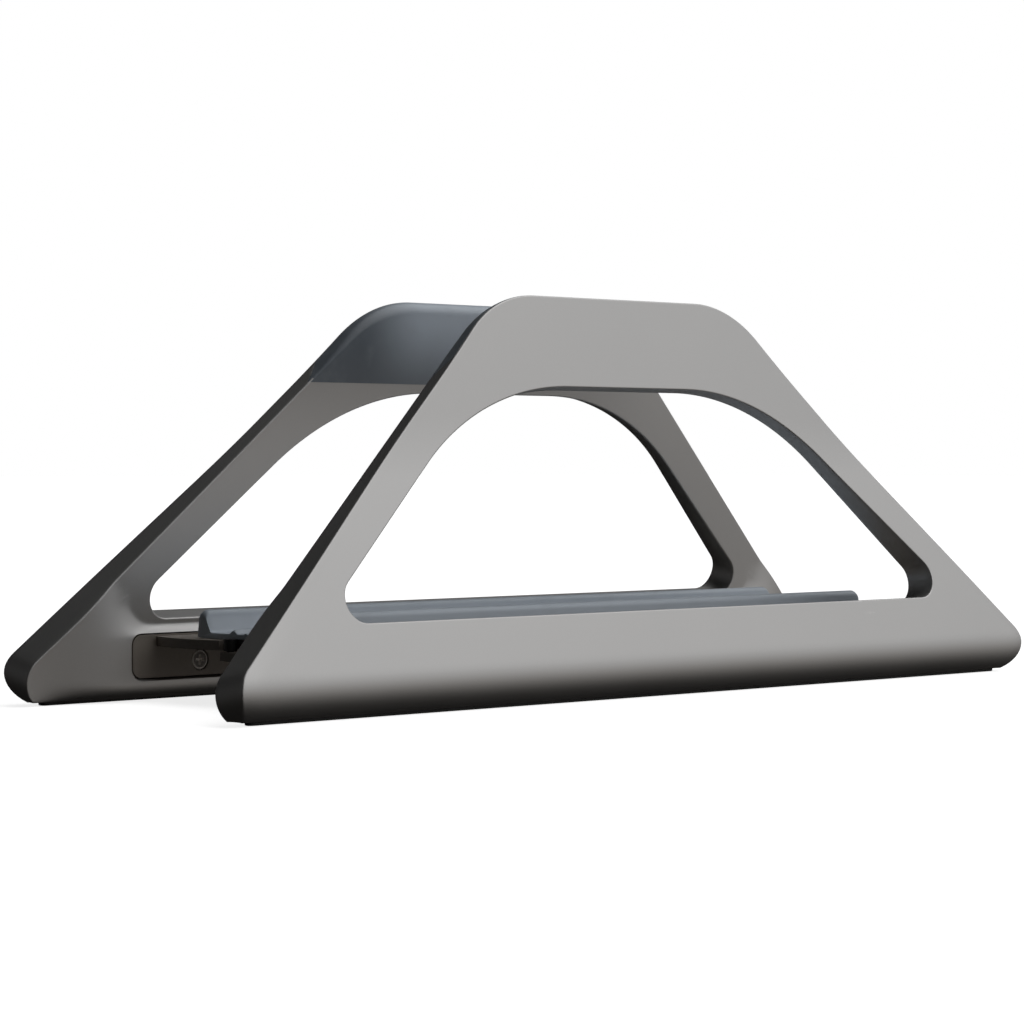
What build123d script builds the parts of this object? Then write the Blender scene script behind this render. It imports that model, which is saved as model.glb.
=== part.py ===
from build123d import *
from math import atan, atan2, cos, hypot, pi, radians, sin, sqrt, tan
import os

# Weight-closing vertical laptop stand, millimetres.
# Two leaning side frames are joined by flat arms to a hinge spine on the centre plane.  A soft cradle
# carries the laptop's lower edge.  Its weight turns the arms about the spine's two rods, and the
# frames' padded heads close on the laptop.  Origin: floor level under the middle of the spine.
# +X runs along the laptop's slot, the front frame stands at -Y, +Z is up.

# Side frame outline, measured in the plane of its inner face
lean = 10.6                  # degrees that the frame leans in from upright
half_gap_at_floor = 29.6     # centre plane to the inner face, at the floor
plate_height = 79.8          # floor to head, up the leaning face
base_half_length = 118.0     # where the straight arm line meets the floor
head_half_length = 32.3      # where the same line meets the head
outline_drop = 0.55          # the blank's lower edge, below the floor line, trimmed by the sole
foot_corner_radius = 5.4
shoulder_radius = 24.9
shoulder_proud = 0.35        # how far the shoulder stands outside the straight arm line
shoulder_flare_radius = 370.0

# Window
bar_height = 16.2
head_bar_depth = 18.3
arm_width_low = 10.1         # level width of the side arm beside the sill
arm_width_high = 12.4        # the same beside the window's head
window_head_radius = 59.7
window_corner_radius = 4.4

# Section of the frame
head_thickness = 3.8
flare_height = 49.6          # below this height the outer face flares out
flare_slope = 0.104
flare_blend = 6.0            # half the length of the blend into the flare
sole_roll_radius = 6.5
sole_width = 3.6
sole_height = 0.7            # the frame's underside above the floor

# Thickened lower bar with its pocket
bar_face_y = 25.0
sill_to_crown = 2.67         # window sill down to where the ledge meets the bar's inner face
bar_ledge_rise = 1.5
bar_under_radius = 4.0
bar_straight_spare = 2.0     # how far the full thickness runs on past the pocket's ends
bar_fade = 17.0              # length over which the thick bar fades into the arm
pocket_depth = 2.6
pocket_corner_radius = 2.3
pocket_end_wall = 15.5       # pocket end to the outline, at the pocket's upper edge

# Grip pad and foot strip
pad_depth = 16.4             # down the inner face from the head
pad_thickness = 1.2
pad_edge_climb = 1.1         # rise of the pad's lower edge across the rim, per mm
outer_lip = 0.5              # metal left outside the pad on the rim
strip_edge = 0.7             # sole left beside the strip on each side
strip_seat = 0.5
strip_end_inset = 12.5

# Swing arm
arm_end_gap = 6.0
arm_drop = 0.65              # pocket's upper edge down to the plate's top
arm_thickness = 1.9
arm_end_bow = 1.6
flange_thickness = 2.3
fit_gap = 0.3
rib_thickness = 1.6
rib_drop = 2.4
rib_run = 10.0
rib_start = 1.0

# Screws that hold the arm's flange
screw_radius = 1.0
screw_length = 5.2
screw_head_radius = 2.0
screw_head_height = 1.1
screw_head_clearance = 0.1
screw_below_arm = 3.1        # plate's underside down to the screws' axes
pocket_below_screw = 3.3     # screws' axes down to the pocket's lower edge
screw_end_distance = 16.6    # from the pocket's end
screw_count = 4
recess_width = 0.5
recess_length = 2.0
recess_depth = 0.6
thread_gap = 0.04

# Hinge
hinge_y = 3.7
knuckle_radius = 1.6
barrel_gap = 8.067           # open length between neighbouring barrels
rod_radius = 0.8
rod_gap = 0.04
knuckle_clearance = 0.4
knuckle_to_carrier = 0.2
link_overlap = 0.5           # how far a barrel's link runs into its plate or bar
spine_wall = 0.32            # beside a guide screw's head
spine_setback = 3.3          # cradle end to spine end
rod_proud = 1.0
stations = 4                 # knuckle steps from the middle to each end
spring_station = 2.5         # in the open space between two barrels
spring_wire = 0.45
spring_radius = 1.25
spring_turns = 6
spring_pitch = 0.61

# Cradle and its carrier
cradle_setback = 1.7
arm_to_cradle = 0.3
cradle_floor = 0.9
lip_outer_y = 14.75
lip_height = 5.2
lip_top_radius = 1.25
lip_top_y = 13.15
lip_foot_y = 10.7
ridge_height = 0.85
ridge_half_width = 1.6
ridge_y = 3.7
middle_ridge_height = 0.35
middle_ridge_shoulder = 0.25
middle_ridge_shoulder_y = 0.64
middle_ridge_half_width = 0.8
carrier_thickness = 0.8
carrier_to_arm = 0.7
post_radius = 1.3
post_overhang = 0.65         # post centre past the cradle's end
post_pin_radius = 0.7
pin_foot_gap = 0.2
post_length = 1.5
post_slit = 0.2
lug_wall = 0.1               # lug past the post on each side
guide_screw_x = 27.0
guide_head_radius = 1.2
guide_head_height = 0.6
guide_shank_radius = 0.7
guide_gap = 0.08
guide_slot_width = 0.4
guide_tip_gap = 0.1          # shank's end below the cradle
cradle_travel = 1.65
bumper_radius = 1.1
bumper_height = 0.5
bumper_gap = 0.1
bumper_edge = 0.2
tongue_length = 4.2

# Values that follow
tilt = radians(lean)
arm_run = (base_half_length - head_half_length) / plate_height
slant = hypot(1, arm_run)
spare = 10.0                 # how far cutting shapes run past what they cut
deep = 30.0                  # past the frame's outer face, wherever it is
along_x = base_half_length + spare
face_dir = Vector(0, -sin(tilt), cos(tilt))
out_dir = Vector(0, cos(tilt), sin(tilt))
bar_crown = bar_height * cos(tilt) - sill_to_crown
pocket_high = bar_crown
strip_width = sole_width - 2 * strip_edge


def outline_half(height):
    return base_half_length - arm_run * height


pocket_half = outline_half(pocket_high) - pocket_end_wall
arm_half = pocket_half - arm_end_gap
cradle_half = arm_half - cradle_setback
spine_half = cradle_half - spine_setback
knuckle_length = (spine_half - stations * barrel_gap) / (stations + 0.5)
station_step = knuckle_length + barrel_gap
arm_high = pocket_high - arm_drop
arm_low = arm_high - arm_thickness
arm_inner_y = hinge_y + knuckle_radius + knuckle_clearance
screw_height = arm_low - screw_below_arm
pocket_low = screw_height - pocket_below_screw
flange_y = bar_face_y + pocket_depth - flange_thickness
cradle_floor_z = arm_high + arm_to_cradle
carrier_low = cradle_floor_z - carrier_thickness
carrier_half_width = arm_inner_y - carrier_to_arm
hinge_z = carrier_low - knuckle_to_carrier - knuckle_radius
spine_half_width = guide_head_radius + guide_gap + spine_wall
spine_low = hinge_z - knuckle_radius
spine_high = hinge_z + knuckle_radius
post_y = hinge_y
post_x = cradle_half + post_overhang
lug_size = 2 * (post_radius + lug_wall)
lug_high = carrier_low - post_length - post_slit

# Plane of the rear frame's inner face: local x along +X, local y up the face, local z inwards
face_plane = Plane(origin=(0, half_gap_at_floor, 0), x_dir=(1, 0, 0), z_dir=-out_dir)


def turned(centre, radius, angle):
    return (centre[0] + radius * cos(angle), centre[1] + radius * sin(angle))


def arc(centre, radius, start, end):
    """A circular arc from one angle to another, as a three point arc."""
    return ThreePointArc(
        turned(centre, radius, start), turned(centre, radius, (start + end) / 2), turned(centre, radius, end)
    )


def mirrored_face(edges):
    """A closed face from the edges of its +x half, which start and end on the y axis."""
    return make_face(edges + [mirror(edge, about=Plane.YZ) for edge in edges])


def frame_outline(inset=0.0):
    """The frame's outline on its inner face, moved in by an inset."""
    line_x = base_half_length - inset * slant
    low = inset - outline_drop
    high = plate_height - inset
    normal = atan2(arm_run, 1)
    corner = foot_corner_radius - inset
    corner_centre = (line_x - arm_run * (low + corner) - corner * slant, low + corner)
    bend = shoulder_radius - inset
    level = high - bend
    shoulder_centre = (line_x - arm_run * level - (bend - shoulder_proud) * slant, level)
    flare = shoulder_flare_radius + inset
    reach = sqrt(shoulder_proud * (2 * (bend + flare) - shoulder_proud))
    across = bend - shoulder_proud + flare
    turn = atan2(reach, across)
    flare_centre = (
        shoulder_centre[0] + across * cos(normal) + reach * sin(normal),
        shoulder_centre[1] + across * sin(normal) - reach * cos(normal),
    )
    corner_end = turned(corner_centre, corner, normal)
    flare_start = turned(flare_centre, flare, normal + pi)
    edges = [
        Line((0, low), (corner_centre[0], low)),
        arc(corner_centre, corner, -pi / 2, normal),
        Line(corner_end, flare_start),
        arc(flare_centre, flare, normal + pi, normal + pi - turn),
        arc(shoulder_centre, bend, normal - turn, pi / 2),
        Line((shoulder_centre[0], high), (0, high)),
    ]
    return mirrored_face(edges)


def window_outline():
    """The window's outline on the inner face."""
    low = bar_height
    high = plate_height - head_bar_depth
    low_half = outline_half(low) - arm_width_low
    high_half = outline_half(high) - arm_width_high
    run = (low_half - high_half) / (high - low)
    normal = atan2(run, 1)
    slope = hypot(1, run)
    corner = window_corner_radius
    corner_centre = (low_half - run * corner - corner * slope, low + corner)
    bend = window_head_radius
    head_centre = (high_half + run * bend - bend * slope, high - bend)
    edges = [
        Line((0, low), (corner_centre[0], low)),
        arc(corner_centre, corner, -pi / 2, normal),
        Line(turned(corner_centre, corner, normal), turned(head_centre, bend, normal)),
        arc(head_centre, bend, normal, pi / 2),
        Line((head_centre[0], high), (0, high)),
    ]
    return mirrored_face(edges)


def on_section(out, up):
    """A point of the cross section, from its distance off the inner face and height up that face."""
    point = Vector(0, half_gap_at_floor, 0) + out_dir * out + face_dir * up
    return (point.Y, point.Z)


def along(face, half_length):
    """A cross section in the YZ plane, drawn out to both sides along X."""
    return extrude(Plane.YZ * face, amount=half_length, both=True)


def frame_section():
    """Cross section of the frame: flat plate above, flare below, rolled edge at the sole."""
    top = plate_height + spare
    inner_sole = (half_gap_at_floor - sole_height * tan(tilt), sole_height)
    sole_end = (inner_sole[0] + sole_width, sole_height)
    flare_angle = tilt + atan(flare_slope)
    kink = Vector(*on_section(head_thickness, flare_height))
    up_plate = Vector(-sin(tilt), cos(tilt))
    down_flare = Vector(sin(flare_angle), -cos(flare_angle))
    flare_out = Vector(cos(flare_angle), sin(flare_angle))
    blend_high = kink + up_plate * flare_blend
    blend_low = kink + down_flare * flare_blend
    blend_radius = flare_blend / tan(atan(flare_slope) / 2)
    blend_centre = blend_high + Vector(cos(tilt), sin(tilt)) * blend_radius
    blend_middle = blend_centre - (blend_centre - kink).normalized() * blend_radius
    base = kink - flare_out * sole_roll_radius
    to_end = Vector(*sole_end) - base
    drop = to_end.dot(down_flare)
    aside = (to_end - down_flare * drop).length
    roll_centre = base + down_flare * (drop - sqrt(sole_roll_radius**2 - aside**2))
    roll_start = roll_centre + flare_out * sole_roll_radius
    end_angle = atan2(sole_end[1] - roll_centre.Y, sole_end[0] - roll_centre.X)
    roll_middle = turned((roll_centre.X, roll_centre.Y), sole_roll_radius, (flare_angle + end_angle) / 2)
    return make_face([
        Line(inner_sole, on_section(0, top)),
        Line(on_section(0, top), on_section(head_thickness, top)),
        Line(on_section(head_thickness, top), blend_high),
        ThreePointArc(blend_high, blend_middle, blend_low),
        Line(blend_low, roll_start),
        ThreePointArc(roll_start, roll_middle, sole_end),
        Line(sole_end, inner_sole),
    ])


def thick_bar():
    """The lower bar's inner swelling, which fades out towards both ends."""
    root = half_gap_at_floor + sole_width
    ledge_foot = bar_crown + bar_ledge_rise
    under = (bar_face_y, sole_height + bar_under_radius)
    under_angle = radians(225)
    under_centre = (bar_face_y + bar_under_radius, under[1])
    section = make_face([
        Line((root, sole_height), (under_centre[0], sole_height)),
        ThreePointArc((under_centre[0], sole_height),
                      turned(under_centre, bar_under_radius, under_angle), under),
        Line(under, (bar_face_y, bar_crown)),
        Line((bar_face_y, bar_crown), (half_gap_at_floor - ledge_foot * tan(tilt), ledge_foot)),
        Line((half_gap_at_floor - ledge_foot * tan(tilt), ledge_foot), (root, ledge_foot)),
        Line((root, ledge_foot), (root, sole_height)),
    ])
    start = pocket_half + bar_straight_spare
    end = start + bar_fade
    plan = make_face([
        Line((-start, bar_face_y), (start, bar_face_y)),
        Bezier((start, bar_face_y), (start + bar_fade / 2, bar_face_y),
               (end - bar_fade / 2, half_gap_at_floor), (end, half_gap_at_floor)),
        Line((end, half_gap_at_floor), (end, root)),
        Line((end, root), (-end, root)),
        Line((-end, root), (-end, half_gap_at_floor)),
        Bezier((-end, half_gap_at_floor), (-end + bar_fade / 2, half_gap_at_floor),
               (-start - bar_fade / 2, bar_face_y), (-start, bar_face_y)),
    ])
    return along(section, end + spare) & extrude(plan, amount=ledge_foot + spare)


def through_face(face, start, end):
    """A face in the plane of the frame, drawn out from one distance off the inner face to another."""
    return extrude(face_plane.offset(-start) * face, amount=start - end)


def screw_places():
    """The X places of the screws along one flange."""
    reach = pocket_half - screw_end_distance
    return [reach * (2 * i / (screw_count - 1) - 1) for i in range(screw_count)]


def level_rod(x, y, z, radius, length, toward=1):
    """A round rod along Y, from a start point."""
    return extrude(Plane(origin=(x, y, z), z_dir=(0, toward, 0)) * Circle(radius), amount=length)


def rounded_slab(half_length, low, high, radius, y, depth):
    """A plate that stands upright on X, with rounded corners."""
    plane = Plane(origin=(0, y, (low + high) / 2), x_dir=(1, 0, 0), z_dir=(0, -1, 0))
    return extrude(plane * RectangleRounded(2 * half_length, high - low, radius), amount=-depth)


def rear_blank():
    """The rear frame with its pad as one solid."""
    blank = along(frame_section(), along_x) + thick_bar()
    blank = blank & through_face(frame_outline(), -spare, deep)
    return blank - through_face(window_outline(), -spare, deep)


def pad_space():
    """The space above the pad's lower edge that isn't the frame's metal core."""
    low = plate_height - pad_depth
    top = plate_height + spare
    outside = head_thickness + spare
    corners = [
        on_section(-spare, low - pad_edge_climb * spare),
        on_section(outside, low + pad_edge_climb * outside),
        on_section(outside, top),
        on_section(-spare, top),
    ]
    zone = along(make_face(Polyline(*corners, close=True)), along_x)
    core = through_face(frame_outline(pad_thickness), pad_thickness, deep)
    skin = through_face(frame_outline(-1.0), head_thickness - outer_lip, deep)
    return zone - core - skin


def sole_groove():
    """The foot strip's seat in the frame's underside, and the strip itself."""
    half = base_half_length - strip_end_inset
    middle = half_gap_at_floor + sole_width / 2
    height = sole_height + strip_seat
    plane = Plane.XY * Location((0, middle, 0))
    return extrude(plane * SlotOverall(2 * half, strip_width), amount=height)


def rear_frame(blank):
    """The rear frame's metal, with pad seat, pocket, strip groove and tapped holes."""
    metal = blank - pad_space()
    pocket = rounded_slab(pocket_half, pocket_low, pocket_high, pocket_corner_radius,
                          bar_face_y - spare, pocket_depth + spare)
    metal = metal - pocket - sole_groove()
    hole_start = flange_y + screw_head_height + screw_head_clearance
    hole_radius = screw_radius + thread_gap
    for x in screw_places():
        metal = metal - level_rod(x, hole_start, screw_height, hole_radius, screw_length + thread_gap)
    return metal


def arm_screw(x):
    """A pan-head screw with a cross recess, driven outwards through the rear arm's flange."""
    seat = flange_y + screw_head_clearance
    head = level_rod(x, seat, screw_height, screw_head_radius, screw_head_height)
    shank = level_rod(x, seat + screw_head_height, screw_height, screw_radius, screw_length)
    level_slot = Box(recess_length, 2 * recess_depth, recess_width)
    upright_slot = Box(recess_width, 2 * recess_depth, recess_length)
    return head + shank - Pos(x, seat, screw_height) * (level_slot + upright_slot)


def barrel(x):
    """A hinge barrel round the rear rod."""
    end = Plane.YZ.offset(x - knuckle_length / 2) * Pos(hinge_y, hinge_z)
    return extrude(end * Circle(knuckle_radius), amount=knuckle_length)


def arm_knuckle(x):
    """One of the rear arm's barrels, with its link to the arm's plate."""
    reach = arm_inner_y - hinge_y + link_overlap
    height = spine_high - arm_low
    link = Pos(x, hinge_y + reach / 2, arm_low + height / 2) * Box(knuckle_length, reach, height)
    return barrel(x) + link


def odd_stations():
    return [i * station_step for i in range(-stations + 1, stations, 2)]


def even_stations():
    return [i * station_step for i in range(-stations, stations + 1, 2)]


def rod_line(radius, half_length, y=hinge_y):
    """A rod along X on the hinge line."""
    return extrude(Plane.YZ * Pos(y, hinge_z) * Circle(radius), amount=half_length, both=True)


def rear_arm():
    """The rear swing arm: flange in the pocket, flat plate, ribs and hinge barrels."""
    inner = arm_inner_y
    end_x = arm_half + arm_end_bow
    middle = (inner + flange_y) / 2
    plan = make_face([
        Line((-arm_half, inner), (arm_half, inner)),
        ThreePointArc((arm_half, inner), (end_x, middle), (arm_half, flange_y)),
        Line((arm_half, flange_y), (-arm_half, flange_y)),
        ThreePointArc((-arm_half, flange_y), (-end_x, middle), (-arm_half, inner)),
    ])
    arm = extrude(Plane.XY.offset(arm_low) * plan, amount=arm_thickness)
    flange = rounded_slab(pocket_half - fit_gap, pocket_low + fit_gap, pocket_high - fit_gap,
                          pocket_corner_radius - fit_gap, flange_y, flange_thickness)
    arm = arm + flange
    for x in odd_stations():
        rib = make_face(Polyline(
            (flange_y, arm_low), (flange_y, arm_low - rib_drop),
            (inner + rib_run, arm_low - rib_drop / 2), (inner + rib_start, arm_low), close=True))
        arm = arm + extrude(Plane.YZ.offset(x - rib_thickness / 2) * rib, amount=rib_thickness)
        arm = arm + arm_knuckle(x)
    for x in screw_places():
        seat = screw_head_height + screw_head_clearance
        well_radius = screw_head_radius + screw_head_clearance
        arm = arm - level_rod(x, flange_y, screw_height, well_radius, seat)
        arm = arm - level_rod(x, flange_y, screw_height, screw_radius + thread_gap, flange_thickness)
    return arm - rod_line(rod_radius + rod_gap, spine_half)


def both_sides(piece):
    return piece + mirror(piece, about=Plane.XZ)


def hinge_spine():
    """The spine between the arms: bar, barrels, tongues for the open stops, and guide lugs."""
    lug_end = post_x + lug_size / 2
    spine = Pos(0, 0, (spine_low + spine_high) / 2) * Box(
        2 * spine_half, 2 * spine_half_width, spine_high - spine_low)
    tail_length = lug_end - spine_half + link_overlap
    barrel_web = hinge_y - spine_half_width + link_overlap
    for side in (-1, 1):
        tail_x = side * (lug_end - tail_length / 2)
        spine = spine + Pos(tail_x, 0, (spine_low + lug_high) / 2) * Box(
            tail_length, 2 * spine_half_width, lug_high - spine_low)
        lug_reach = post_y + lug_size / 2
        spine = spine + Pos(side * post_x, 0, (spine_low + lug_high) / 2) * Box(
            lug_size, 2 * lug_reach, lug_high - spine_low)
    for x in even_stations():
        web = Pos(x, hinge_y - barrel_web / 2, hinge_z) * Box(knuckle_length, barrel_web, knuckle_radius)
        spine = spine + both_sides(barrel(x) + web)
    tongue_high = arm_low - bumper_gap - bumper_height
    tongue_start = hinge_y + knuckle_radius / 2
    for x in tongue_places():
        tongue = Pos(x, tongue_start + tongue_length / 2, (spine_low + tongue_high) / 2) * Box(
            knuckle_length, tongue_length, tongue_high - spine_low)
        spine = spine + both_sides(tongue)
    spine = spine - both_sides(rod_line(rod_radius, spine_half + rod_proud))
    for x, y in post_places():
        spine = spine - Pos(x, y, (spine_low + lug_high) / 2) * Cylinder(
            post_pin_radius + guide_gap, lug_high - spine_low + spare)
    for x in (-guide_screw_x, guide_screw_x):
        hole = Pos(x, 0, (spine_low + spine_high) / 2) * Cylinder(
            guide_shank_radius + guide_gap, spine_high - spine_low + spare)
        room = guide_head_height + cradle_travel + guide_gap
        well = Pos(x, 0, spine_low + room / 2) * Cylinder(guide_head_radius + guide_gap, room)
        spine = spine - hole - well
    return spine


def post_places():
    return [(x, y) for x in (-post_x, post_x) for y in (-post_y, post_y)]


def tongue_places():
    return [-2 * station_step, 2 * station_step]


def cradle_carrier():
    """The stiff strip under the cradle, with a shouldered guide post at each corner."""
    strip = Pos(0, 0, carrier_low + carrier_thickness / 2) * Box(
        2 * cradle_half, 2 * carrier_half_width, carrier_thickness)
    for x, y in post_places():
        shoulder_height = carrier_thickness + post_length
        shoulder = Cylinder(post_radius, shoulder_height)
        strip = strip + Pos(x, y, cradle_floor_z - shoulder_height / 2) * shoulder
        pin_low = spine_low + pin_foot_gap
        pin_high = cradle_floor_z - carrier_thickness
        strip = strip + Pos(x, y, (pin_low + pin_high) / 2) * Cylinder(post_pin_radius, pin_high - pin_low)
    for x in (-guide_screw_x, guide_screw_x):
        hole = Cylinder(guide_shank_radius + thread_gap, 2 * carrier_thickness)
        strip = strip - Pos(x, 0, carrier_low) * hole
    return strip


def guide_screw(x):
    """A screw from below that keeps the carrier on the spine and lets it rise."""
    head_low = spine_low
    head = Pos(x, 0, head_low + guide_head_height / 2) * Cylinder(guide_head_radius, guide_head_height)
    shank_low = head_low + guide_head_height
    shank_high = cradle_floor_z - guide_tip_gap
    shank = Pos(x, 0, (shank_low + shank_high) / 2) * Cylinder(guide_shank_radius, shank_high - shank_low)
    slot = Pos(x, 0, head_low) * Box(2 * guide_head_radius, guide_slot_width, guide_head_height)
    return head + shank - slot


def cradle_pad():
    """The soft trough that takes the laptop's lower edge: two tall lips and low ridges."""
    low = cradle_floor_z
    floor = low + cradle_floor
    top = low + lip_height
    crown_centre = (lip_top_y, top - lip_top_radius)
    ridge_left = ridge_y - ridge_half_width
    ridge_right = ridge_y + ridge_half_width
    edges = [
        Line((0, low), (lip_outer_y, low)),
        Line((lip_outer_y, low), turned(crown_centre, lip_top_radius, 0)),
        arc(crown_centre, lip_top_radius, 0, pi),
        Line(turned(crown_centre, lip_top_radius, pi), (lip_foot_y, floor)),
        Line((lip_foot_y, floor), (ridge_right, floor)),
        Spline((ridge_right, floor), (ridge_y, floor + ridge_height), (ridge_left, floor),
               tangents=((-1, 0), (-1, 0))),
        Line((ridge_left, floor), (middle_ridge_half_width, floor)),
        ThreePointArc((middle_ridge_half_width, floor),
                      (middle_ridge_shoulder_y, floor + middle_ridge_shoulder),
                      (0, floor + middle_ridge_height)),
    ]
    return along(mirrored_face(edges), cradle_half)


def torsion_spring(x):
    """The coil of a torsion spring round the rear rod, between two barrels."""
    length = spring_pitch * spring_turns
    coil_path = Plane(origin=(x - length / 2, hinge_y, hinge_z), z_dir=(1, 0, 0)) * Helix(
        pitch=spring_pitch, height=length, radius=spring_radius)
    return sweep(Plane(origin=coil_path @ 0, z_dir=coil_path % 0) * Circle(spring_wire / 2), path=coil_path)


def bumper(x):
    """A soft disc on the spine's tongue that stops the rear arm at its open end."""
    low = arm_low - bumper_gap - bumper_height
    y = hinge_y + knuckle_radius / 2 + tongue_length - bumper_radius - bumper_edge
    return Pos(x, y, low + bumper_height / 2) * Cylinder(bumper_radius, bumper_height)


def numbered(name, pieces):
    return {f"{name}_{i + 1}": piece for i, piece in enumerate(pieces)}


def build_all():
    blank = rear_blank()
    spring_x = spring_station * station_step
    rear = {
        "frame": rear_frame(blank),
        "grip_pad": blank & pad_space(),
        "foot_strip": sole_groove(),
        "swing_arm": rear_arm(),
        "hinge_rod": rod_line(rod_radius, spine_half + rod_proud),
    }
    rear.update(numbered("arm_screw", [arm_screw(x) for x in screw_places()]))
    rear.update(numbered("torsion_spring", [torsion_spring(x) for x in (-spring_x, spring_x)]))
    rear.update(numbered("stop_bumper", [bumper(x) for x in tongue_places()]))
    nodes = {}
    for name, piece in rear.items():
        nodes[f"rear_{name}"] = piece
        nodes[f"front_{name}"] = mirror(piece, about=Plane.XZ)
    nodes["hinge_spine"] = hinge_spine()
    nodes["cradle_carrier"] = cradle_carrier()
    nodes["cradle_pad"] = cradle_pad()
    nodes.update(numbered("guide_screw", [guide_screw(x) for x in (-guide_screw_x, guide_screw_x)]))
    return nodes


os.makedirs("parts", exist_ok=True)
for node, solid in build_all().items():
    export_step(solid, f"parts/{node}.step")
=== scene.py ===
from math import asin, atan, atan2, cos, hypot, pi, radians, sin, sqrt, tan

import bmesh
import bpy
from mathutils import Matrix, Vector


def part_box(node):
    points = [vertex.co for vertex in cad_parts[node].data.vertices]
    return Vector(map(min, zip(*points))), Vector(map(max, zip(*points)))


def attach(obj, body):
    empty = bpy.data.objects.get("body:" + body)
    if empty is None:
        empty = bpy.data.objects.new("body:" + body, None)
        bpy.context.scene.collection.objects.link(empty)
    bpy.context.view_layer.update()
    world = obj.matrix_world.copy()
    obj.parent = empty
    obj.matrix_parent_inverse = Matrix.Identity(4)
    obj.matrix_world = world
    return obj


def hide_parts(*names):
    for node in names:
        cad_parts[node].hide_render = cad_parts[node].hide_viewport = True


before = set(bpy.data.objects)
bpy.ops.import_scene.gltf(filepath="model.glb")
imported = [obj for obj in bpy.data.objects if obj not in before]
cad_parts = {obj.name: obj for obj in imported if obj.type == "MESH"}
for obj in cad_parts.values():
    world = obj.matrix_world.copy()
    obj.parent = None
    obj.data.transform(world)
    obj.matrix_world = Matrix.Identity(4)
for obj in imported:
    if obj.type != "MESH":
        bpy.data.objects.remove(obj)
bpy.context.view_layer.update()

MM = 0.001

# ---- Camera ----
# A portrait lens at desk height, off the stand's front left corner, looking very slightly down.
camera_place = Vector((-445.8, -458.3, 46.12)) * MM
camera_yaw = 0.7587
camera_pitch = 0.0157
camera_data = bpy.data.cameras.new("camera")
camera_data.sensor_width = 36.0
camera_data.lens = 109.05
camera_data.clip_start = 0.01
camera = bpy.data.objects.new("camera", camera_data)
look = Vector((sin(camera_yaw) * cos(camera_pitch), cos(camera_yaw) * cos(camera_pitch), -sin(camera_pitch)))
level = Vector((cos(camera_yaw), -sin(camera_yaw), 0))
camera_axes = Matrix((level, level.cross(look), -look)).transposed()
camera.matrix_world = Matrix.Translation(camera_place) @ camera_axes.to_4x4()
bpy.context.scene.collection.objects.link(camera)
bpy.context.scene.camera = camera

# ---- Side frames ----
# Two die-cast aluminium frames, mirrored front to back, bead-blasted and anodised grey.  Each is a leaning
# plate that thickens into a rolled lower bar.  The bar swells inwards round the pocket for the swing arm.
lean = radians(10.6)
half_gap_at_floor = 29.6
plate_height = 79.8
base_half_length = 118.0
head_half_length = 32.3
outline_drop = 0.55
foot_corner_radius = 5.4
shoulder_radius = 24.9
shoulder_proud = 0.35
shoulder_flare_radius = 370.0
bar_height = 16.2
head_bar_depth = 18.3
arm_width_low = 10.1
arm_width_high = 12.4
window_head_radius = 59.7
window_corner_radius = 4.4
head_thickness = 3.8
flare_height = 49.6
flare_slope = 0.104
flare_blend = 6.0
sole_roll_radius = 6.5
sole_width = 3.6
sole_height = 0.7
bar_face_y = 25.0
bar_crown = 13.25
ledge_rise = 1.7
ledge_power = 1.6
ledge_spread = 16.0
ledge_spread_start = -5.0
bar_under_radius = 4.0
bar_fade = 20.0
bar_fade_start = 1.0
pocket_low = 4.3
pocket_depth = 2.6
pocket_corner_radius = 2.3
pocket_end_wall = 15.5
pocket_chamfer = 0.3
pad_depth = 16.4
pad_edge_climb = 1.1
pad_bed = 1.32
bed_hidden = 1.5
bed_wall = 0.25
bed_ramp = 0.5
lip_gap = 0.02
outer_lip = 0.5
edge_radius = 0.28
foot_roll_width = 3.5
foot_roll_depth = 0.3
foot_roll_height = 26.0
foot_roll_turn = 0.9
just_under = 0.9999
arm_run = (base_half_length - head_half_length) / plate_height
arm_slant = hypot(1, arm_run)
arm_normal = atan2(arm_run, 1)


def outline_half(height):
    return base_half_length - arm_run * height


pocket_half = outline_half(bar_crown) - pocket_end_wall
foot_centre_s = foot_corner_radius - outline_drop
foot_centre_x = outline_half(foot_centre_s) - foot_corner_radius * arm_slant


def smooth(value):
    """A smooth step from 0 to 1."""
    value = max(0.0, min(1.0, value))
    return value * value * (3 - 2 * value)


def between(a, b, share):
    """The point a share of the way from one point to another."""
    return (a[0] + (b[0] - a[0]) * share, a[1] + (b[1] - a[1]) * share)


def polar(centre, radius, angle):
    return (centre[0] + radius * cos(angle), centre[1] + radius * sin(angle))


def quarter(count):
    """Angles over a quarter turn, both ends included."""
    return [pi / 2 * i / count for i in range(count + 1)]


def arc_points(centre, radius, start, end, count):
    """Points along an arc, without its last one."""
    return [polar(centre, radius, start + (end - start) * i / count) for i in range(count)]


def line_points(start, end, count):
    """Points along a line, without its last one."""
    return [between(start, end, i / count) for i in range(count)]


level_steps = 46
corner_steps = 14
arm_steps = 46
flare_steps = 8
shoulder_steps = 24
head_steps = 16
edge_steps = 4
rim_steps = 8
rows_below_crown = 22
rows_above_crown = 14
crown_softness = 0.012


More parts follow.
